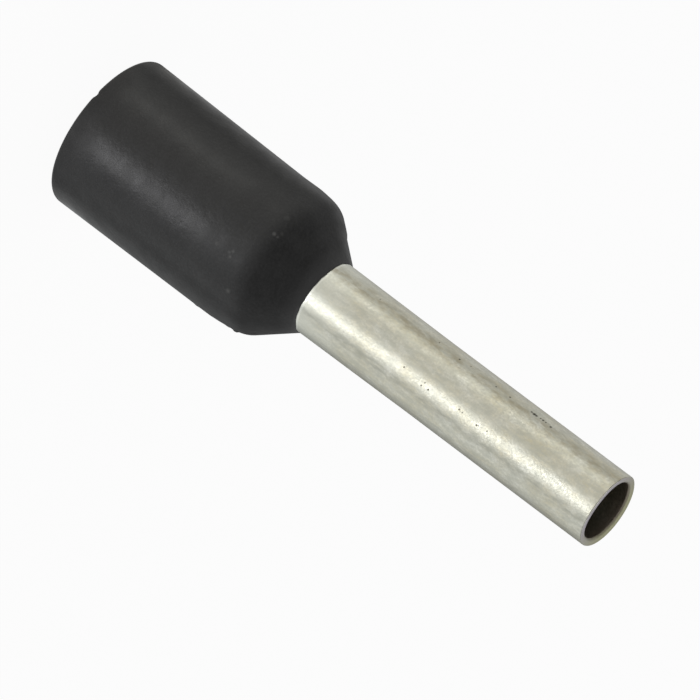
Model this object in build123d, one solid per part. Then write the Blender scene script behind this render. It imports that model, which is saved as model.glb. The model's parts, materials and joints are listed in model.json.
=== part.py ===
from build123d import *
import math
import os

# An insulated wire ferrule, in millimetres and degrees. It stands on the rear rim of its collar:
# the origin is the centre of that rim, and +Z runs along the axis to the tip of the sleeve.

# The sleeve is a drawn copper tube whose rear end is rolled out to a flare inside the collar.
SLEEVE_BORE = 1.50  # diameter that the stripped strands fill
SLEEVE_WALL = 0.16
SLEEVE_PROJECTION = 8.20  # bare length in front of the collar
TIP_OUTER_ROUND = 0.05  # the cut end is tumbled, so its edges are soft
TIP_INNER_ROUND = 0.03
FLARE_LENGTH = 0.60  # along the slope, from the corner of the bend to the edge
FLARE_BEND = 0.25  # radius of the bend, on the side of the collar

# The collar is a thin moulding: a drafted barrel, a rounded shoulder and a conical nose.
COLLAR_LENGTH = 6.40
INSULATION_BORE = 3.10  # diameter that the wire's insulation slides into
BARREL_WALL = 0.30  # at the rear rim
BARREL_DRAFT = 0.60  # the outside narrows towards the shoulder
SHOULDER_ROUND = 1.06
NOSE_ANGLE = 37.0  # between the axis and the side of the nose
NOSE_WALL = 0.28  # square to the side of the nose
NECK_LIP = 0.025  # the plastic ends almost as a feather edge on the sleeve
NECK_ROUND = 0.01
REAR_ROUND = 0.12  # outer edge of the rear rim
LEAD_IN = 0.09  # rounded inner edge of the rear rim, where the wire enters

# The collar grips the sleeve, with only this film of air between them.
SEAT_CLEARANCE = 0.005

SLEEVE_RADIUS = SLEEVE_BORE / 2 + SLEEVE_WALL
NECK_RADIUS = SLEEVE_RADIUS + SEAT_CLEARANCE
BORE_RADIUS = INSULATION_BORE / 2
RIM_RADIUS = BORE_RADIUS + BARREL_WALL
TIP_HEIGHT = COLLAR_LENGTH + SLEEVE_PROJECTION

# The nose is laid out from the outer corner of its mouth, in radius and height.
NOSE_SINE = math.sin(math.radians(NOSE_ANGLE))
NOSE_COSINE = math.cos(math.radians(NOSE_ANGLE))
MOUTH_CORNER = Vector(NECK_RADIUS + NECK_LIP, COLLAR_LENGTH)
DOWN_THE_NOSE = Vector(NOSE_SINE, -NOSE_COSINE)
INTO_THE_NOSE = Vector(-NOSE_COSINE, -NOSE_SINE)

# Depths under the side of the nose, each square to it.
FLARE_OUTSIDE = NOSE_WALL + SEAT_CLEARANCE
FLARE_INSIDE = FLARE_OUTSIDE + SLEEVE_WALL


def on_slope(along, depth):
    """The point this far down the nose from its mouth, and this deep under its side."""
    return MOUTH_CORNER + DOWN_THE_NOSE * along + INTO_THE_NOSE * depth


def slope_at(radius, depth):
    """How far down the nose a cone at this depth reaches the radius."""
    return (radius - MOUTH_CORNER.X + depth * NOSE_COSINE) / NOSE_SINE


def turned(*corners):
    """The solid of revolution of a closed half section: radius, height and rounding of each corner."""
    points = [(radius, height) for radius, height, rounding in corners]
    roundings = [rounding for radius, height, rounding in corners]
    outline = FilletPolyline(*points, radius=roundings, close=True)
    return revolve(Plane.XZ * make_face(outline), Axis.Z)


def flare_end():
    """Distance down the nose of the edge of the flare."""
    return slope_at(SLEEVE_RADIUS, FLARE_OUTSIDE) + FLARE_LENGTH


def tinned_sleeve():
    """The drawn tube, from its tumbled tip down to the edge of the flare and back up outside."""
    bore = SLEEVE_BORE / 2
    inner_bend = on_slope(slope_at(bore, FLARE_INSIDE), FLARE_INSIDE)
    inner_edge = on_slope(flare_end(), FLARE_INSIDE)
    outer_edge = on_slope(flare_end(), FLARE_OUTSIDE)
    outer_bend = on_slope(slope_at(SLEEVE_RADIUS, FLARE_OUTSIDE), FLARE_OUTSIDE)
    return turned(
        (SLEEVE_RADIUS, TIP_HEIGHT, TIP_OUTER_ROUND),
        (bore, TIP_HEIGHT, TIP_INNER_ROUND),
        (inner_bend.X, inner_bend.Y, FLARE_BEND + SLEEVE_WALL),
        (inner_edge.X, inner_edge.Y, 0),
        (outer_edge.X, outer_edge.Y, 0),
        (outer_bend.X, outer_bend.Y, FLARE_BEND),
    )


def shoulder_corner():
    """Where the drafted barrel would meet the side of the nose if the shoulder were sharp."""
    draft = math.tan(math.radians(BARREL_DRAFT))
    taper = 1 / math.tan(math.radians(NOSE_ANGLE))
    spread = (RIM_RADIUS - draft * COLLAR_LENGTH - MOUTH_CORNER.X) / (1 - draft * taper)
    return Vector(MOUTH_CORNER.X + spread, COLLAR_LENGTH - spread * taper)


def plastic_collar():
    """The moulding, up its outside, over the mouth, and down inside past the seat and the funnel."""
    shoulder = shoulder_corner()
    seat_bend = on_slope(slope_at(NECK_RADIUS, NOSE_WALL), NOSE_WALL)
    recess_end = flare_end() + SEAT_CLEARANCE
    recess_outside = on_slope(recess_end, NOSE_WALL)
    recess_inside = on_slope(recess_end, FLARE_INSIDE)
    funnel_foot = on_slope(slope_at(BORE_RADIUS, FLARE_INSIDE), FLARE_INSIDE)
    return turned(
        (RIM_RADIUS, 0, REAR_ROUND),
        (shoulder.X, shoulder.Y, SHOULDER_ROUND),
        (MOUTH_CORNER.X, MOUTH_CORNER.Y, NECK_ROUND),
        (NECK_RADIUS, COLLAR_LENGTH, 0),
        (seat_bend.X, seat_bend.Y, FLARE_BEND - SEAT_CLEARANCE),
        (recess_outside.X, recess_outside.Y, 0),
        (recess_inside.X, recess_inside.Y, 0),
        (funnel_foot.X, funnel_foot.Y, 0),
        (BORE_RADIUS, 0, LEAD_IN),
    )


os.makedirs("parts", exist_ok=True)
export_step(tinned_sleeve(), "parts/tinned_sleeve.step")
export_step(plastic_collar(), "parts/plastic_collar.step")
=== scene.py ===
import json
import math

import bmesh
import bpy
from mathutils import Matrix, Vector, noise


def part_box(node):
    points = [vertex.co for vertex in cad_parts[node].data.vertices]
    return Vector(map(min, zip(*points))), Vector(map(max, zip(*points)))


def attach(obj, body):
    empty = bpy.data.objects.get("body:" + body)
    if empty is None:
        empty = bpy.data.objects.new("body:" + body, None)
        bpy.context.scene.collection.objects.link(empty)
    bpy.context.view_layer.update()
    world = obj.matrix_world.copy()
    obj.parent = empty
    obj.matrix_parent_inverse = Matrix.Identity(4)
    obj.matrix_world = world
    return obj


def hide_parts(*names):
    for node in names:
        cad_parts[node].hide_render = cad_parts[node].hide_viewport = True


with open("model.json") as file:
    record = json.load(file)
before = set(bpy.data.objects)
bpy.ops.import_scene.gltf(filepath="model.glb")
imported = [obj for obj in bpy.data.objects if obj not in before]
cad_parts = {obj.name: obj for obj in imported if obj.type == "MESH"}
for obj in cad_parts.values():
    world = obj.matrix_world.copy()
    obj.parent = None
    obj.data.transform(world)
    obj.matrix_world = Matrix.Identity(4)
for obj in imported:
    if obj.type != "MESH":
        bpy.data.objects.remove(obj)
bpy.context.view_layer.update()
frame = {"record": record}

# Tinned sleeve: a thin copper tube, drawn, cut to length and electroplated with tin. Its rear
# end is rolled out to a flare that lies under the nose of the collar and holds the collar on.
MM = 0.001
NOSE_ANGLE = math.radians(37)  # between the axis and the sides of the nose and of the flare
FLARE_BEND = 0.25 * MM
mounts = {mount["name"]: mount for mount in frame["record"]["mounts"]}
sleeve_radius = mounts["terminal_pin"]["dims"]["r_mm"] * MM
strand_bore = mounts["conductor_bore"]["dims"]["r_mm"] * MM
sleeve_wall = sleeve_radius - strand_bore
sleeve_low, sleeve_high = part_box("tinned_sleeve")
flare_radius = sleeve_high.x
flare_inner = flare_radius - sleeve_wall * math.cos(NOSE_ANGLE)
flare_height = sleeve_low.z + sleeve_wall * math.sin(NOSE_ANGLE)
collar_low, collar_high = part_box("plastic_collar")
tip = sleeve_high.z
mouth = collar_high.z

# Cutting and tumbling narrowed the front of the tube by two or three hundredths of a
# millimetre and closed its edge in.
TIP_RADIUS = 0.893 * MM
TIP_BORE = 0.722 * MM
TIP_OUTER_ROUND = 0.022 * MM
TIP_INNER_ROUND = 0.07 * MM
TAPER_LENGTH = 3.1 * MM  # outside, from the mouth of the collar
NARROW_DEPTH = 0.30 * MM  # below the tip, of the narrowed bore
FULL_DEPTH = 0.60 * MM  # below the tip, where the bore has its drawn size again

# The mesh is so fine, along the section and round the axis, that no facet shows.
SLEEVE_SPACING = 0.08 * MM
SLEEVE_STEPS = 224
ROUNDING_STEPS = 8
SHARP_ANGLE = math.radians(40)


def turned_shape(corners, spacing, steps):
    """A closed wall section, given as radius, height and rounding of each corner, spun about Z."""
    shape = bmesh.new()
    points = [shape.verts.new((radius, 0, height)) for radius, height, rounding in corners]
    for here, following in zip(points, points[1:] + points[:1]):
        shape.edges.new((here, following))
    for point, (radius, height, rounding) in zip(points, corners):
        if rounding:
            arms = [edge.other_vert(point).co - point.co for edge in point.link_edges]
            reach = rounding / math.tan(arms[0].angle(arms[1]) / 2)
            bmesh.ops.bevel(shape, geom=[point], offset=reach, segments=ROUNDING_STEPS,
                            profile=0.5, affect="VERTICES")
    for edge in shape.edges[:]:
        cuts = math.ceil(edge.calc_length() / spacing) - 1
        if cuts > 0:
            bmesh.ops.subdivide_edges(shape, edges=[edge], cuts=cuts)
    bmesh.ops.spin(shape, geom=shape.verts[:] + shape.edges[:], cent=(0, 0, 0), axis=(0, 0, 1),
                   angle=math.tau, steps=steps, use_merge=True)
    return shape


def finished_piece(name, shape):
    """The object of a shape, with its faces turned outwards and its sharp corners kept."""
    bmesh.ops.recalc_face_normals(shape, faces=shape.faces[:])
    mesh = bpy.data.meshes.new(name)
    shape.to_mesh(mesh)
    shape.free()
    mesh.shade_smooth()
    mesh.set_sharp_from_angle(angle=SHARP_ANGLE)
    piece = bpy.data.objects.new(name, mesh)
    bpy.context.scene.collection.objects.link(piece)
    return piece


def height_on_slope(radius, edge_radius, edge_height):
    """Height at which a cone parallel to the nose, which ends at an edge, has this radius."""
    return edge_height + (edge_radius - radius) / math.tan(NOSE_ANGLE)


def eased(value, start, end):
    """A smooth step from 0 at the start to 1 at the end."""
    share = min(max((value - start) / (end - start), 0), 1)
    return share * share * (3 - 2 * share)


def around(point):
    """Angle of a point round the axis: 0 on the near side, and a quarter turn at +X."""
    return math.atan2(point.x, -point.y)


# The collar was pushed on a little askew: below the mouth both pieces lean over by this slope.
LEAN = 0.0125
lean = Matrix.Translation((-LEAN * mouth, 0, 0)) @ Matrix.Shear("XY", 4, (LEAN, 0))

inner_bend = height_on_slope(strand_bore, flare_inner, sleeve_low.z)
outer_bend = height_on_slope(sleeve_radius, flare_radius, flare_height)
shape = turned_shape([
    (TIP_RADIUS, tip, TIP_OUTER_ROUND),
    (TIP_BORE, tip, TIP_INNER_ROUND),
    (TIP_BORE, tip - NARROW_DEPTH, 0),
    (strand_bore, tip - FULL_DEPTH, 0),
    (strand_bore, inner_bend, FLARE_BEND + sleeve_wall),
    (flare_inner, sleeve_low.z, 0),
    (flare_radius, flare_height, 0),
    (sleeve_radius, outer_bend, FLARE_BEND),
    (sleeve_radius, mouth, 0),
    (TIP_RADIUS, mouth + TAPER_LENGTH, 0),
], SLEEVE_SPACING, SLEEVE_STEPS)
bmesh.ops.transform(shape, matrix=lean, verts=[point for point in shape.verts if point.co.z < mouth])

# The shears left the near side of the cut end a little longer, with a low burr in over the bore,
# and the far side two hundredths of a millimetre out of square.
BURR = 0.04 * MM
BURR_SPREAD = 0.9  # to each side, in radians
BURR_INWARD = 0.6  # share by which it leans in over the bore
BURR_LOSS = 0.2  # share of its height that it loses there
CUT_DEPTH = 0.25 * MM  # of the stretch that the shears bent
SKEW = 0.022 * MM
SKEW_DROP = 0.006 * MM
FAR_SIDE_START = -0.2 * MM
FAR_SIDE_END = 0.5 * MM
for point in shape.verts:
    inward = 1 - eased(point.co.xy.length, TIP_BORE, TIP_RADIUS)
    nearness = math.exp(-(around(point.co) / BURR_SPREAD) ** 2)
    burr = BURR * nearness * eased(point.co.z, tip - CUT_DEPTH, tip)
    point.co.xy -= point.co.xy.normalized() * burr * inward * BURR_INWARD
    point.co.z += burr * (1 - inward * BURR_LOSS)
    skew = SKEW * point.co.x / TIP_RADIUS - SKEW_DROP
    skew *= eased(point.co.y, FAR_SIDE_START, FAR_SIDE_END)
    point.co.z += skew * eased(point.co.z, tip - CUT_DEPTH, tip)

sleeve = finished_piece("drawn_sleeve", shape)
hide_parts("tinned_sleeve")
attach(sleeve, "root")


def linear(colour):
    """The linear red, green, blue and alpha of an sRGB hex colour."""
    shares = [int(colour[start:start + 2], 16) / 255 for start in (1, 3, 5)]
    return [share / 12.92 if share <= 0.04045 else ((share + 0.055) / 1.055) ** 2.4
            for share in shares] + [1]


def add_node(tree, kind, settings, inputs, stops=()):
    """A node with its settings. An input takes a value or a node's output; stops fill a ramp."""
    node = tree.nodes.new("ShaderNode" + kind)
    for name, value in settings.items():
        setattr(node, name, value)
    for key, value in inputs.items():
        if isinstance(value, bpy.types.NodeSocket):
            tree.links.new(value, node.inputs[key])
        else:
            node.inputs[key].default_value = value
    for number, (place, colour) in enumerate(stops):
        marks = node.color_ramp.elements
        mark = marks[number] if number < len(marks) else marks.new(place)
        mark.position = place
        mark.color = linear(colour)
    return node


def new_material(name):
    """An empty node material, with its tree."""
    material = bpy.data.materials.new(name)
    material.use_nodes = True
    material.node_tree.nodes.clear()
    return material, material.node_tree


# Electroplated tin over drawn copper: a satin, slightly warm white metal. The drawing leaves
# faint streaks along the tube, the plating a fine grain that shows more near the cut end, and
# handling a few pits and dull yellowish stains.
tin, tree = new_material("electroplated_tin")

# Patterns are laid out in millimetres, and so are sizes and places that carry no MM.
PER_MM = 1 / MM
STREAK_DRAWN = 0.32  # scale along the tube, of the one across it
BLOTCH_DRAWN = 0.5
mouth_mm = mouth / MM
tip_mm = tip / MM
place = add_node(tree, "TexCoord", {}, {}).outputs["Object"]
spot = add_node(tree, "Mapping", {}, {
    "Vector": place, "Scale": (PER_MM, PER_MM, PER_MM)}).outputs[0]
lengthwise = add_node(tree, "Mapping", {}, {
    "Vector": place, "Scale": (PER_MM, PER_MM, PER_MM * STREAK_DRAWN)}).outputs[0]
sides = add_node(tree, "SeparateXYZ", {}, {0: spot}).outputs
height = sides["Z"]

# Plating grain is some 0.01 mm across and is drawn 0.05 mm, about two pixels, so that it shows.
# Its relief grows from the first of these heights to the second.
GRAINS_PER_MM = 18.0
FINE_HEIGHT = 8.5
COARSE_HEIGHT = 12.5
grain = add_node(tree, "TexNoise", {}, {
    "Vector": spot, "Scale": GRAINS_PER_MM, "Detail": 2.0, "Roughness": 0.6}).outputs["Fac"]
coarse = add_node(tree, "MapRange", {"interpolation_type": "SMOOTHSTEP"}, {
    "Value": height, "From Min": FINE_HEIGHT, "From Max": COARSE_HEIGHT,
    "To Min": 0.4, "To Max": 1.0}).outputs[0]
grain_relief = add_node(tree, "Math", {"operation": "MULTIPLY"}, {0: grain, 1: coarse}).outputs[0]

# Drawing streaks are 0.08 mm across and a quarter of a millimetre long.
STREAKS_PER_MM = 12.0
STREAK_RELIEF = 0.3  # of the grain's
streaks = add_node(tree, "TexNoise", {}, {
    "Vector": lengthwise, "Scale": STREAKS_PER_MM, "Detail": 2.0, "Roughness": 0.5}).outputs["Fac"]
relief = add_node(tree, "Math", {"operation": "MULTIPLY_ADD"}, {
    0: streaks, 1: STREAK_RELIEF, 2: grain_relief}).outputs[0]

# Pits in the plating: height, degrees round from the near side, and radius.
PITS = [
    (9.22, 10, 0.028), (9.82, 10, 0.022), (9.78, 16, 0.026), (9.97, 15, 0.030),
    (10.82, 11, 0.028), (10.92, 12, 0.020), (11.35, 14, 0.030), (11.39, 13, 0.022),
    (11.63, 12, 0.024), (7.71, -51, 0.024), (9.39, -54, 0.022), (10.01, -51, 0.030),
    (10.30, -54, 0.020), (11.06, -51, 0.026), (11.46, -51, 0.030), (12.05, -53.6, 0.036),
    (12.13, -53.2, 0.060), (12.19, -53.1, 0.044), (12.30, -54, 0.026), (12.37, -54.1, 0.038),
    (12.45, -53.8, 0.026), (12.61, -52.2, 0.040)]
PIT_CORE = 0.3  # share of its radius that is darkest
pitted = 0.0
for level, turn, radius in PITS:
    x = TIP_RADIUS / MM * math.sin(math.radians(turn))
    y = -TIP_RADIUS / MM * math.cos(math.radians(turn))
    away = add_node(tree, "VectorMath", {"operation": "DISTANCE"}, {
        0: spot, 1: (x, y, level)}).outputs["Value"]
    pit = add_node(tree, "MapRange", {}, {
        "Value": away, "From Min": radius * PIT_CORE, "From Max": radius,
        "To Min": 1.0, "To Max": 0.0}).outputs[0]
    pitted = add_node(tree, "Math", {"operation": "MAXIMUM"}, {0: pit, 1: pitted}).outputs[0]

# Stains are blotches, 0.4 mm across and 0.8 mm along the tube.
STAINS_PER_MM = 2.4
blotches = add_node(tree, "Mapping", {}, {
    "Vector": place, "Scale": (PER_MM, PER_MM, PER_MM * BLOTCH_DRAWN)}).outputs[0]
stain = add_node(tree, "TexNoise", {}, {
    "Vector": blotches, "Scale": STAINS_PER_MM, "Detail": 5.0, "Roughness": 0.75}).outputs["Fac"]
stained = add_node(tree, "MapRange", {}, {
    "Value": stain, "From Min": 0.36, "From Max": 0.66, "To Min": 0.0, "To Max": 1.0}).outputs[0]
colour = add_node(tree, "MixRGB", {}, {
    "Fac": stained, "Color1": linear("#DDDDD2"), "Color2": linear("#CAC4AB")}).outputs[0]
streaky = add_node(tree, "MapRange", {}, {
    "Value": streaks, "From Min": 0.35, "From Max": 0.65, "To Min": 0.0, "To Max": 0.7}).outputs[0]
colour = add_node(tree, "MixRGB", {}, {
    "Fac": streaky, "Color1": colour, "Color2": linear("#B8B9AC")}).outputs[0]
speckled = add_node(tree, "MapRange", {}, {
    "Value": grain, "From Min": 0.3, "From Max": 0.7, "To Min": 0.0, "To Max": 0.6}).outputs[0]
colour = add_node(tree, "MixRGB", {}, {
    "Fac": speckled, "Color1": colour, "Color2": linear("#B9B9AE")}).outputs[0]

# Next to the collar the plating is painted lighter and whiter: partly cleaner plating, partly a
# painted highlight that brightens the shine there. A hair's breadth from the lip a thin line is
# painted near-white. That line keeps the slope of the lip.
CLEAN_AND_HIGHLIGHT_FROM = mouth_mm + 0.1
CLEAN_AND_HIGHLIGHT_TO = mouth_mm + 1.3
LIP_SLOPE = (0.0209, 0.0121, 1.0)
PALE_LINE_FROM = mouth_mm + 0.065
PALE_LINE_TO = mouth_mm + 0.100
# Painted highlight: the whiter zone next to the collar also brightens and widens the highlight there.
clean_and_highlight = add_node(tree, "MapRange", {}, {
    "Value": height, "From Min": CLEAN_AND_HIGHLIGHT_FROM, "From Max": CLEAN_AND_HIGHLIGHT_TO,
    "To Min": 0.6, "To Max": 0.0}).outputs[0]
colour = add_node(tree, "MixRGB", {}, {
    "Fac": clean_and_highlight, "Color1": colour, "Color2": linear("#D7D9CF")}).outputs[0]
above = add_node(tree, "VectorMath", {"operation": "DOT_PRODUCT"}, {
    0: spot, 1: LIP_SLOPE}).outputs["Value"]
# A thin near-white line painted just above the lip.
pale_lip_line = add_node(tree, "MapRange", {}, {
    "Value": above, "From Min": PALE_LINE_FROM, "From Max": PALE_LINE_TO,
    "To Min": 0.5, "To Max": 0.0}).outputs[0]
colour = add_node(tree, "MixRGB", {}, {
    "Fac": pale_lip_line, "Color1": colour, "Color2": linear("#F2F4EC")}).outputs[0]

# A line of brownish smudges runs along the left side, where they also deepen the dark reflection that
# falls there: partly stain, partly painted shade. The smudges are 0.14 mm across and twice as long.
SMUDGE_LINE = (-0.62, -0.65, 0)
SMUDGE_CORE = 0.05
SMUDGE_REACH = 0.30
SMUDGES_PER_MM = 7.0
flat = add_node(tree, "Mapping", {}, {"Vector": place, "Scale": (PER_MM, PER_MM, 0)}).outputs[0]
aside = add_node(tree, "VectorMath", {"operation": "DISTANCE"}, {
    0: flat, 1: SMUDGE_LINE}).outputs["Value"]
band = add_node(tree, "MapRange", {}, {
    "Value": aside, "From Min": SMUDGE_CORE, "From Max": SMUDGE_REACH,
    "To Min": 0.5, "To Max": 0.0}).outputs[0]
smudge = add_node(tree, "TexNoise", {}, {
    "Vector": blotches, "Scale": SMUDGES_PER_MM, "Detail": 3.0, "Roughness": 0.6}).outputs["Fac"]
smudge_and_shade = add_node(tree, "MapRange", {}, {
    "Value": smudge, "From Min": 0.42, "From Max": 0.62}).outputs[0]
smudge_and_shade = add_node(tree, "Math", {"operation": "MULTIPLY"}, {0: smudge_and_shade, 1: band}).outputs[0]
# Painted shade: the smudges darken the strip of the left side where the reflection is dark.
colour = add_node(tree, "MixRGB", {}, {
    "Fac": smudge_and_shade, "Color1": colour, "Color2": linear("#9E9478")}).outputs[0]

# On the right a broken, darker line runs along the tube: partly a mark of the drawing die, partly
# painted shade where the highlight falls off below it.
DIE_LINE = (0.493, -0.759, 0)
DIE_LINE_CORE = 0.02
DIE_LINE_REACH = 0.13
beside = add_node(tree, "VectorMath", {"operation": "DISTANCE"}, {
    0: flat, 1: DIE_LINE}).outputs["Value"]
die_line_and_shade = add_node(tree, "MapRange", {}, {
    "Value": beside, "From Min": DIE_LINE_CORE, "From Max": DIE_LINE_REACH,
    "To Min": 0.5, "To Max": 0.0}).outputs[0]
die_line_and_shade = add_node(tree, "Math", {"operation": "MULTIPLY"}, {0: streaky, 1: die_line_and_shade}).outputs[0]
# Painted shade at the lower edge of the highlight, together with the die mark.
colour = add_node(tree, "MixRGB", {}, {
    "Fac": die_line_and_shade, "Color1": colour, "Color2": linear("#97978A")}).outputs[0]
colour = add_node(tree, "MixRGB", {}, {
    "Fac": pitted, "Color1": colour, "Color2": linear("#3A372F")}).outputs[0]

# Just inside the cut the bore is painted a darker brown, strongest 0.1 mm below the tip: painted
# shade in the bore.
BORE_SHADE_INNER = 0.745
BORE_SHADE_OUTER = 0.765
BORE_SHADE_FROM = tip_mm - 0.6
BORE_SHADE_TO = tip_mm - 0.1
out = add_node(tree, "VectorMath", {"operation": "LENGTH"}, {0: flat}).outputs["Value"]
inside = add_node(tree, "MapRange", {}, {
    "Value": out, "From Min": BORE_SHADE_INNER, "From Max": BORE_SHADE_OUTER,
    "To Min": 1.0, "To Max": 0.0}).outputs[0]
bore_shade = add_node(tree, "MapRange", {}, {
    "Value": height, "From Min": BORE_SHADE_FROM, "From Max": BORE_SHADE_TO,
    "To Min": 0.1, "To Max": 0.9}).outputs[0]
bore_shade = add_node(tree, "Math", {"operation": "MULTIPLY"}, {0: inside, 1: bore_shade}).outputs[0]
# Painted shade inside the bore.
colour = add_node(tree, "MixRGB", {}, {
    "Fac": bore_shade, "Color1": colour, "Color2": linear("#A3978A")}).outputs[0]

# The cut end is duller than the wall. It is painted greyish on the near side and darker and
# yellower on the far side, which is painted shade.
CUT_FROM = tip_mm - 0.06
CUT_TO = tip_mm - 0.02
CUT_INNER = 0.868
CUT_OUTER = 0.884
CUT_NEAR = -0.6
CUT_FAR = 0.6
CUT_DULLNESS = 0.3
TIN_RELIEF = 0.0040 * MM
cut_end = add_node(tree, "MapRange", {}, {
    "Value": height, "From Min": CUT_FROM, "From Max": CUT_TO}).outputs[0]
within = add_node(tree, "MapRange", {}, {
    "Value": out, "From Min": CUT_INNER, "From Max": CUT_OUTER,
    "To Min": 1.0, "To Max": 0.0}).outputs[0]
cut_end = add_node(tree, "Math", {"operation": "MULTIPLY"}, {0: cut_end, 1: within}).outputs[0]
# Painted shade: the far side of the cut end is given a darker, yellower colour.
far_side_shade = add_node(tree, "MapRange", {}, {
    "Value": sides["Y"], "From Min": CUT_NEAR, "From Max": CUT_FAR}).outputs[0]
cut_colour_and_shade = add_node(tree, "MixRGB", {}, {
    "Fac": far_side_shade, "Color1": linear("#C4C0C4"), "Color2": linear("#B6B598")}).outputs[0]
colour = add_node(tree, "MixRGB", {}, {
    "Fac": cut_end, "Color1": colour, "Color2": cut_colour_and_shade}).outputs[0]
dull = add_node(tree, "MapRange", {}, {
    "Value": grain, "From Min": 0.3, "From Max": 0.7, "To Min": 0.34, "To Max": 0.44}).outputs[0]
dull = add_node(tree, "Math", {"operation": "MULTIPLY_ADD"}, {
    0: cut_end, 1: CUT_DULLNESS, 2: dull}).outputs[0]
bump = add_node(tree, "Bump", {}, {
    "Strength": 1.0, "Distance": TIN_RELIEF, "Height": relief}).outputs[0]
metal = add_node(tree, "BsdfPrincipled", {}, {
    "Base Color": colour, "Metallic": 1.0, "Roughness": dull, "Normal": bump})
add_node(tree, "OutputMaterial", {}, {"Surface": metal.outputs[0]})
sleeve.data.materials.append(tin)

# Plastic collar: black polypropylene, injection moulded with a thin wall. Its neck is a thin
# edge that closes on the sleeve, and a funnel inside leads the strands into the bore.
BARREL_WALL = 0.30 * MM
BARREL_DRAFT = math.radians(0.6)
NOSE_WALL = 0.28 * MM
LIP_THICKNESS = 0.02 * MM
SEAT_CLEARANCE = 0.005 * MM
REAR_ROUND = 0.10 * MM
SHOULDER_ROUND = 0.75 * MM
LIP_ROUND = 0.01 * MM
LEAD_IN = 0.09 * MM
COLLAR_SPACING = 0.1 * MM
COLLAR_STEPS = 256
insulation_bore = mounts["insulation_bore"]["dims"]["r_mm"] * MM
rim_radius = insulation_bore + BARREL_WALL
mouth_radius = sleeve_radius + LIP_THICKNESS
slope = math.tan(NOSE_ANGLE)
spread = (rim_radius - math.tan(BARREL_DRAFT) * mouth - mouth_radius) / (
    1 - math.tan(BARREL_DRAFT) / slope)
seat_radius = sleeve_radius + SEAT_CLEARANCE
nose_wall_across = NOSE_WALL / math.cos(NOSE_ANGLE)
seat_height = mouth - (seat_radius + nose_wall_across - mouth_radius) / slope
recess_radius = flare_radius + SEAT_CLEARANCE
shape = turned_shape([
    (rim_radius, 0, REAR_ROUND),
    (mouth_radius + spread, mouth - spread / slope, SHOULDER_ROUND),
    (mouth_radius, mouth, LIP_ROUND),
    (seat_radius, mouth, 0),
    (seat_radius, seat_height, FLARE_BEND),
    (recess_radius, seat_height - (recess_radius - seat_radius) / slope, 0),
    (flare_inner, sleeve_low.z, 0),
    (insulation_bore, sleeve_low.z - (insulation_bore - flare_inner) / slope, 0),
    (insulation_bore, 0, LEAD_IN),
], COLLAR_SPACING, COLLAR_STEPS)
bmesh.ops.transform(shape, matrix=lean, verts=shape.verts[:])

# The nose sits a little to one side, and its thin lip reaches furthest up the sleeve on the left.
# Both flanks of the shoulder are softer than its front, and the left one has a low step below
# the lip. The lip never thins to nothing: a feather edge stays outside the sleeve all round.
NOSE_LENGTH = 2 * MM
NOSE_ASIDE = 0.028 * MM
ASIDE_LOW = 4.3 * MM
ASIDE_HIGH = 5.1 * MM
FEATHER_EDGE = 0.004 * MM
LIP_REACH = 0.033 * MM
LIP_TILT = 0.022 * MM
LIP_HIGH_SIDE = math.radians(-60)
SOFT_DEPTH = 0.026 * MM
SOFT_HEIGHT = 5.06 * MM
SOFT_SPREAD = 0.20 * MM
STEP_DEPTH = 0.033 * MM
STEP_LOW = 5.68 * MM
STEP_HIGH = 5.76 * MM
LEFT_FROM = 0.3  # share of the radius by which a point lies to the left
LEFT_FULL = 0.9
SEAT_MARGIN = 0.001 * MM  # within which a point counts as one of the seat
SKIN_MARGIN = 0.002 * MM  # beyond which it is one of the outside
RIPPLE = 0.022 * MM
RIPPLE_LENGTH = 0.22 * MM
RIPPLE_DEPTH = 0.10 * MM
for point in shape.verts:
    level, out = point.co.z, point.co.xy.length
    if out > seat_radius - SEAT_MARGIN and level > mouth - NOSE_LENGTH:
        outside = eased(level, ASIDE_LOW, ASIDE_HIGH)
        reach = LIP_REACH + LIP_TILT * math.cos(around(point.co) - LIP_HIGH_SIDE)
        point.co.z += reach * outside
        if out > seat_radius + SKIN_MARGIN:
            aside = point.co.x / out
            soft = SOFT_DEPTH * math.exp(-((level - SOFT_HEIGHT) / SOFT_SPREAD) ** 2) * aside ** 2
            step = STEP_DEPTH * eased(level, STEP_LOW, STEP_HIGH) * eased(-aside, LEFT_FROM, LEFT_FULL)
            point.co.xy *= (out - soft - step) / out
            point.co.x -= NOSE_ASIDE * outside
            point.co.xy *= max(1, (seat_radius + FEATHER_EDGE) / point.co.xy.length)
        ripple = noise.noise(point.co / RIPPLE_LENGTH) * RIPPLE
        point.co.z += ripple * eased(point.co.z, mouth - RIPPLE_DEPTH, mouth)

# The rear rim has a nick on the near side, where the moulding was broken from its runner.
NICK_SIDE = math.radians(-18)
NICK_WIDTH = math.radians(4)
NICK_DEPTH = 0.035 * MM
NICK_HEIGHT = 0.12 * MM
NICK_INSET = 0.1 * MM
for point in shape.verts:
    beside = abs(around(point.co) - NICK_SIDE) / NICK_WIDTH
    if point.co.z < NICK_HEIGHT and point.co.xy.length > insulation_bore + NICK_INSET:
        point.co.z += NICK_DEPTH * (1 - eased(beside, 0, 1)) * (1 - point.co.z / NICK_HEIGHT)

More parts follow.
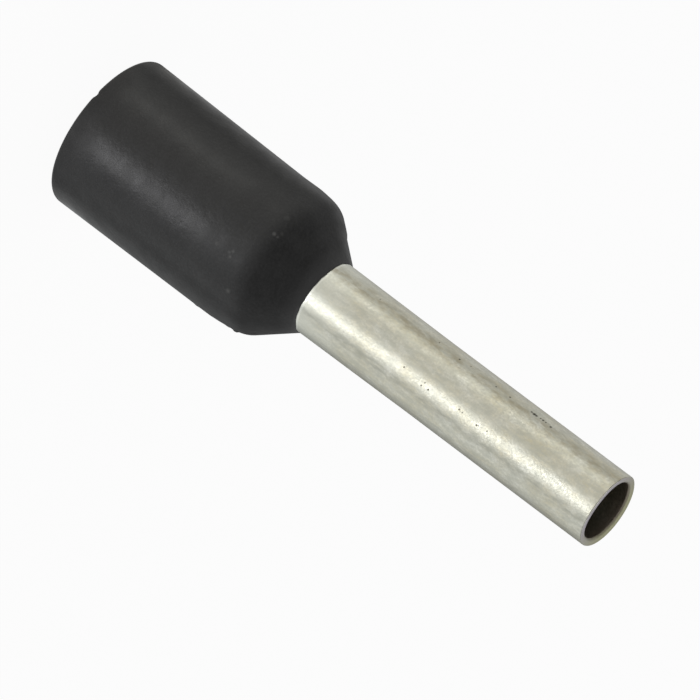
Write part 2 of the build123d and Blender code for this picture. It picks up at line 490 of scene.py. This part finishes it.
# A broken thread of flash stands along the parting line, round the shoulder on the right.
PARTING_SIDE = math.radians(91)
FLASH_WIDTH = math.radians(0.8)
FLASH = 0.045 * MM
FLASH_LENGTH = 0.15 * MM  # of the pieces that it is broken into
FLASH_START = 3.9 * MM
FLASH_FULL = 4.3 * MM
FLASH_FADE = 5.5 * MM
FLASH_END = 5.8 * MM
for point in shape.verts:
    beside = abs(around(point.co) - PARTING_SIDE)
    if beside < FLASH_WIDTH and point.co.xy.length > recess_radius:
        flash = max(noise.noise(point.co / FLASH_LENGTH), 0) * FLASH
        begun = eased(point.co.z, FLASH_START, FLASH_FULL)
        flash *= begun - eased(point.co.z, FLASH_FADE, FLASH_END)
        point.co.xy += point.co.xy.normalized() * flash

collar = finished_piece("moulded_collar", shape)
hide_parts("plastic_collar")
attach(collar, "root")

# Moulded black polypropylene: a dull black with a soft sheen. The fine texture of the mould
# breaks up the sheen, and pale specks of dust cling to the shoulder.
black, tree = new_material("moulded_black_polypropylene")
place = add_node(tree, "TexCoord", {}, {}).outputs["Object"]
spot = add_node(tree, "Mapping", {}, {
    "Vector": place, "Scale": (PER_MM, PER_MM, PER_MM)}).outputs[0]

# Spark-eroded texture, real grain 0.02 mm, is drawn 0.06 mm; the waves under it are 0.3 mm.
TEXTURE_PER_MM = 16.0
WAVES_PER_MM = 3.0
WAVE_RELIEF = 3.0  # of the texture's
PLASTIC_RELIEF = 0.0045 * MM
texture = add_node(tree, "TexNoise", {}, {
    "Vector": spot, "Scale": TEXTURE_PER_MM, "Detail": 2.0, "Roughness": 0.6}).outputs["Fac"]
waves = add_node(tree, "TexNoise", {}, {
    "Vector": spot, "Scale": WAVES_PER_MM, "Detail": 2.0, "Roughness": 0.5}).outputs["Fac"]
relief = add_node(tree, "Math", {"operation": "MULTIPLY_ADD"}, {
    0: waves, 1: WAVE_RELIEF, 2: texture}).outputs[0]
bump = add_node(tree, "Bump", {}, {
    "Strength": 1.0, "Distance": PLASTIC_RELIEF, "Height": relief}).outputs[0]

# Specks of dust: radius, height and degrees round from the near side, then reach and strength.
SPECKS = [
    (1.76, 5.30, -15, 0.06, 0.24), (1.72, 5.39, -15, 0.04, 0.13), (1.71, 5.41, -19, 0.06, 0.06),
    (1.79, 5.25, -30, 0.08, 0.07), (1.79, 4.73, 14, 0.045, 0.14), (1.79, 4.80, 12, 0.055, 0.16),
    (1.79, 4.80, 16.5, 0.055, 0.14), (1.80, 4.38, 14.5, 0.06, 0.12),
    (1.76, 5.09, 39.5, 0.08, 0.16)]
SPECK_CORE = 0.010
dusty = 0.0
for out, level, turn, reach, strength in SPECKS:
    x = out * math.sin(math.radians(turn))
    y = -out * math.cos(math.radians(turn))
    away = add_node(tree, "VectorMath", {"operation": "DISTANCE"}, {
        0: spot, 1: (x, y, level)}).outputs["Value"]
    speck = add_node(tree, "MapRange", {}, {
        "Value": away, "From Min": SPECK_CORE, "From Max": reach,
        "To Min": strength, "To Max": 0.0}).outputs[0]
    dusty = add_node(tree, "Math", {"operation": "MAXIMUM"}, {0: speck, 1: dusty}).outputs[0]
patchy = add_node(tree, "MapRange", {}, {
    "Value": waves, "From Min": 0.35, "From Max": 0.65}).outputs[0]
colour = add_node(tree, "MixRGB", {}, {
    "Fac": patchy, "Color1": linear("#161616"), "Color2": linear("#202020")}).outputs[0]
freckled = add_node(tree, "MapRange", {}, {
    "Value": texture, "From Min": 0.4, "From Max": 0.65, "To Min": 0.0, "To Max": 0.5}).outputs[0]
colour = add_node(tree, "MixRGB", {}, {
    "Fac": freckled, "Color1": colour, "Color2": linear("#2D2D2D")}).outputs[0]

# The plastic is paler where it was stretched into the thin lip.
STRETCHED_FROM = mouth_mm - 0.35
STRETCHED_TO = mouth_mm + 0.05
height = add_node(tree, "SeparateXYZ", {}, {0: spot}).outputs["Z"]
stretched = add_node(tree, "MapRange", {"interpolation_type": "SMOOTHSTEP"}, {
    "Value": height, "From Min": STRETCHED_FROM, "From Max": STRETCHED_TO}).outputs[0]
colour = add_node(tree, "MixRGB", {}, {
    "Fac": stretched, "Color1": colour, "Color2": linear("#414141")}).outputs[0]
colour = add_node(tree, "MixRGB", {}, {
    "Fac": dusty, "Color1": colour, "Color2": linear("#A8A8A4")}).outputs[0]
dull = add_node(tree, "MapRange", {}, {
    "Value": waves, "From Min": 0.3, "From Max": 0.7, "To Min": 0.30, "To Max": 0.40}).outputs[0]

# The sheen is duller towards the shoulder and the rear rim, and also where the light grazes the
# texture, except along the very edge, where any surface shines.
FRONT_DULL_FROM = 3.4
FRONT_DULL_TO = 4.7
REAR_DULL_FROM = 0.1
REAR_DULL_TO = 0.9
rubbed_front = add_node(tree, "MapRange", {"interpolation_type": "SMOOTHSTEP"}, {
    "Value": height, "From Min": FRONT_DULL_FROM, "From Max": FRONT_DULL_TO,
    "To Min": 0.0, "To Max": 0.16}).outputs[0]
rubbed_rear = add_node(tree, "MapRange", {"interpolation_type": "SMOOTHSTEP"}, {
    "Value": height, "From Min": REAR_DULL_FROM, "From Max": REAR_DULL_TO,
    "To Min": 0.22, "To Max": 0.0}).outputs[0]
rubbed = add_node(tree, "Math", {"operation": "ADD"}, {0: rubbed_front, 1: rubbed_rear}).outputs[0]
facing = add_node(tree, "LayerWeight", {}, {"Blend": 0.5}).outputs["Facing"]
grazed = add_node(tree, "MapRange", {}, {
    "Value": facing, "From Min": 0.2, "From Max": 0.45, "To Min": 0.0, "To Max": 0.3}).outputs[0]
edge = add_node(tree, "MapRange", {}, {
    "Value": facing, "From Min": 0.5, "From Max": 0.9, "To Min": 1.0, "To Max": 0.2}).outputs[0]
grazed = add_node(tree, "Math", {"operation": "MULTIPLY"}, {0: grazed, 1: edge}).outputs[0]
duller = add_node(tree, "Math", {"operation": "MAXIMUM"}, {0: rubbed, 1: grazed}).outputs[0]
dull = add_node(tree, "Math", {"operation": "ADD"}, {0: dull, 1: duller}).outputs[0]
plastic = add_node(tree, "BsdfPrincipled", {}, {
    "Base Color": colour, "Roughness": dull, "IOR": 1.49, "Normal": bump})
add_node(tree, "OutputMaterial", {}, {"Surface": plastic.outputs[0]})
collar.data.materials.append(black)

# Floor: a wide white disc whose edge turns up to a low wall, so that it fills every view. It
# casts no shadow, because two of the lamps stand lower than it does.
FLOOR_RADIUS = 0.4
FLOOR_STEPS = 96
FLOOR_GAP = 0.01 * MM  # keeps the floor's face apart from the rear rim's
WALL_HEIGHT = 0.08
shape = bmesh.new()
bmesh.ops.create_circle(shape, cap_ends=True, segments=FLOOR_STEPS, radius=FLOOR_RADIUS,
                        matrix=Matrix.Translation((0, 0, -FLOOR_GAP)))
edge_loop = [edge for edge in shape.edges if edge.is_boundary]
raised = bmesh.ops.extrude_edge_only(shape, edges=edge_loop)["geom"]
bmesh.ops.translate(shape, verts=[part for part in raised if isinstance(part, bmesh.types.BMVert)],
                    vec=(0, 0, WALL_HEIGHT))
floor_mesh = bpy.data.meshes.new("studio_floor")
shape.to_mesh(floor_mesh)
shape.free()
floor = bpy.data.objects.new("studio_floor", floor_mesh)
bpy.context.scene.collection.objects.link(floor)
floor.visible_shadow = False

# White studio paper. Reflections see it shaded by its bearing: the turn starts at -X, passes the
# camera's side at a quarter and +X at a half, and the paper is darkest behind the object. To the
# camera it is an even white, in which a trace of the paper's own shading is left.
GLOW_SHARE = 0.95
white, tree = new_material("white_studio_paper")
path = add_node(tree, "LightPath", {}, {})
place = add_node(tree, "TexCoord", {}, {})
turn = add_node(tree, "TexGradient", {"gradient_type": "RADIAL"}, {"Vector": place.outputs["Object"]})
shade = add_node(tree, "ValToRGB", {}, {"Fac": turn.outputs["Fac"]}, [
    (0.00, "#CBCAC7"), (0.03, "#D8D7D4"), (0.09, "#EDECE8"), (0.14, "#EFEDE9"), (0.25, "#EBEAE7"),
    (0.36, "#EBECED"), (0.43, "#DCDDDD"), (0.49, "#FEFFFF"), (0.55, "#F2F4F4"), (0.60, "#CDCFCF"),
    (0.65, "#949595"), (0.74, "#6F6F6F"), (0.83, "#C5C5C5"), (0.90, "#ECECEC"), (0.96, "#D4D3CF"),
    (1.00, "#CBCAC7")])
seen = add_node(tree, "MixRGB", {}, {
    "Fac": path.outputs["Is Glossy Ray"],
    "Color1": linear("#FFFFFF"), "Color2": shade.outputs["Color"]})
straight = add_node(tree, "Math", {"operation": "MAXIMUM"}, {
    0: path.outputs["Is Camera Ray"], 1: path.outputs["Is Transmission Ray"]})
share = add_node(tree, "Math", {"operation": "MAXIMUM"}, {
    0: straight.outputs[0], 1: path.outputs["Is Glossy Ray"]})
share = add_node(tree, "Math", {"operation": "MULTIPLY"}, {0: share.outputs[0], 1: GLOW_SHARE})
paper = add_node(tree, "BsdfDiffuse", {}, {"Color": linear("#E8E8E8")})
glow = add_node(tree, "Emission", {}, {"Color": seen.outputs[0], "Strength": 1.0})
both = add_node(tree, "MixShader", {}, {0: share.outputs[0], 1: paper.outputs[0], 2: glow.outputs[0]})
add_node(tree, "OutputMaterial", {}, {"Surface": both.outputs[0]})
floor.data.materials.append(white)

# Light: a dim room, paler towards the floor, and softboxes that stand round the object. A lamp
# below the floor lights it by direct light only, because the floor would stop a reflected ray.
world = bpy.data.worlds.new("dim_room")
bpy.context.scene.world = world
world.use_nodes = True
tree = world.node_tree
tree.nodes.clear()
sky = add_node(tree, "TexCoord", {}, {}).outputs["Generated"]
rise = add_node(tree, "SeparateXYZ", {}, {0: sky}).outputs["Z"]
glow = add_node(tree, "MapRange", {"interpolation_type": "SMOOTHSTEP"}, {
    "Value": rise, "From Min": 0.15, "From Max": 0.7, "To Min": 0.48, "To Max": 0.22}).outputs[0]
room = add_node(tree, "Background", {}, {"Color": linear("#FFFFFF"), "Strength": glow})
add_node(tree, "OutputWorld", {}, {"Surface": room.outputs[0]})

LAMP_DISTANCE = 0.3
middle = Vector((0, 0, (collar_low.z + sleeve_high.z) / 2))


def softbox(name, azimuth, elevation, width, height, radiance, colour):
    """An area lamp that faces the ferrule; azimuth 0 is the camera's side, and 90 is +X."""
    turn, rise = math.radians(azimuth), math.radians(elevation)
    away = Vector((math.sin(turn) * math.cos(rise), -math.cos(turn) * math.cos(rise), math.sin(rise)))
    lamp = bpy.data.lights.new(name, "AREA")
    lamp.shape = "RECTANGLE"
    lamp.size, lamp.size_y = width, height
    lamp.energy = radiance * math.pi * width * height
    lamp.color = linear(colour)[:3]
    lamp.cycles.use_multiple_importance_sampling = elevation > 0
    box = bpy.data.objects.new(name, lamp)
    box.location = middle + away * LAMP_DISTANCE
    box.rotation_euler = away.to_track_quat("Z", "Y").to_euler()
    box.visible_camera = False
    bpy.context.scene.collection.objects.link(box)


softbox("key_softbox", 27, -27, 0.12, 0.15, 2.62, "#FCFCFF")
softbox("left_softbox", -60, -18, 0.10, 0.10, 1.0, "#FFFEF8")
softbox("back_softbox", 180, 68, 0.25, 0.25, 1.5, "#FFFFFF")

# Camera: a long lens, 22 degrees above the horizon and rolled, so that the standing ferrule
# lies across the frame with its tip towards the lower right.
VIEW_DISTANCE = 301.2 * MM
VIEW_ELEVATION = math.radians(22.2)
AXIS_FALL = math.radians(36.96)  # of the ferrule's axis below the horizontal, in the picture
AIM_HEIGHT = 7.065 * MM  # of the point on the axis that the aim pixel shows
AIM_PIXEL = (346.3, 314.85)
PICTURE = 700  # pixels across and down
RIGHT_ANGLE = math.radians(90)
camera_data = bpy.data.cameras.new("camera")
camera_data.lens = 720
camera_data.sensor_width = 36
camera_data.clip_start = 0.01
camera_data.clip_end = 5
camera = bpy.data.objects.new("camera", camera_data)
tilted = Matrix.Rotation(RIGHT_ANGLE - VIEW_ELEVATION, 3, "X")
turned = tilted @ Matrix.Rotation(RIGHT_ANGLE + AXIS_FALL, 3, "Z")
pixel = VIEW_DISTANCE * camera_data.sensor_width / camera_data.lens / PICTURE
aim_across = (AIM_PIXEL[0] - PICTURE / 2) * pixel
aim_up = (PICTURE / 2 - AIM_PIXEL[1]) * pixel
camera.rotation_euler = turned.to_euler()
camera.location = Vector((0, 0, AIM_HEIGHT)) - turned @ Vector((aim_across, aim_up, -VIEW_DISTANCE))
bpy.context.scene.collection.objects.link(camera)
bpy.context.scene.camera = camera

bpy.context.scene.view_settings.view_transform = "Standard"

bpy.context.view_layer.update()
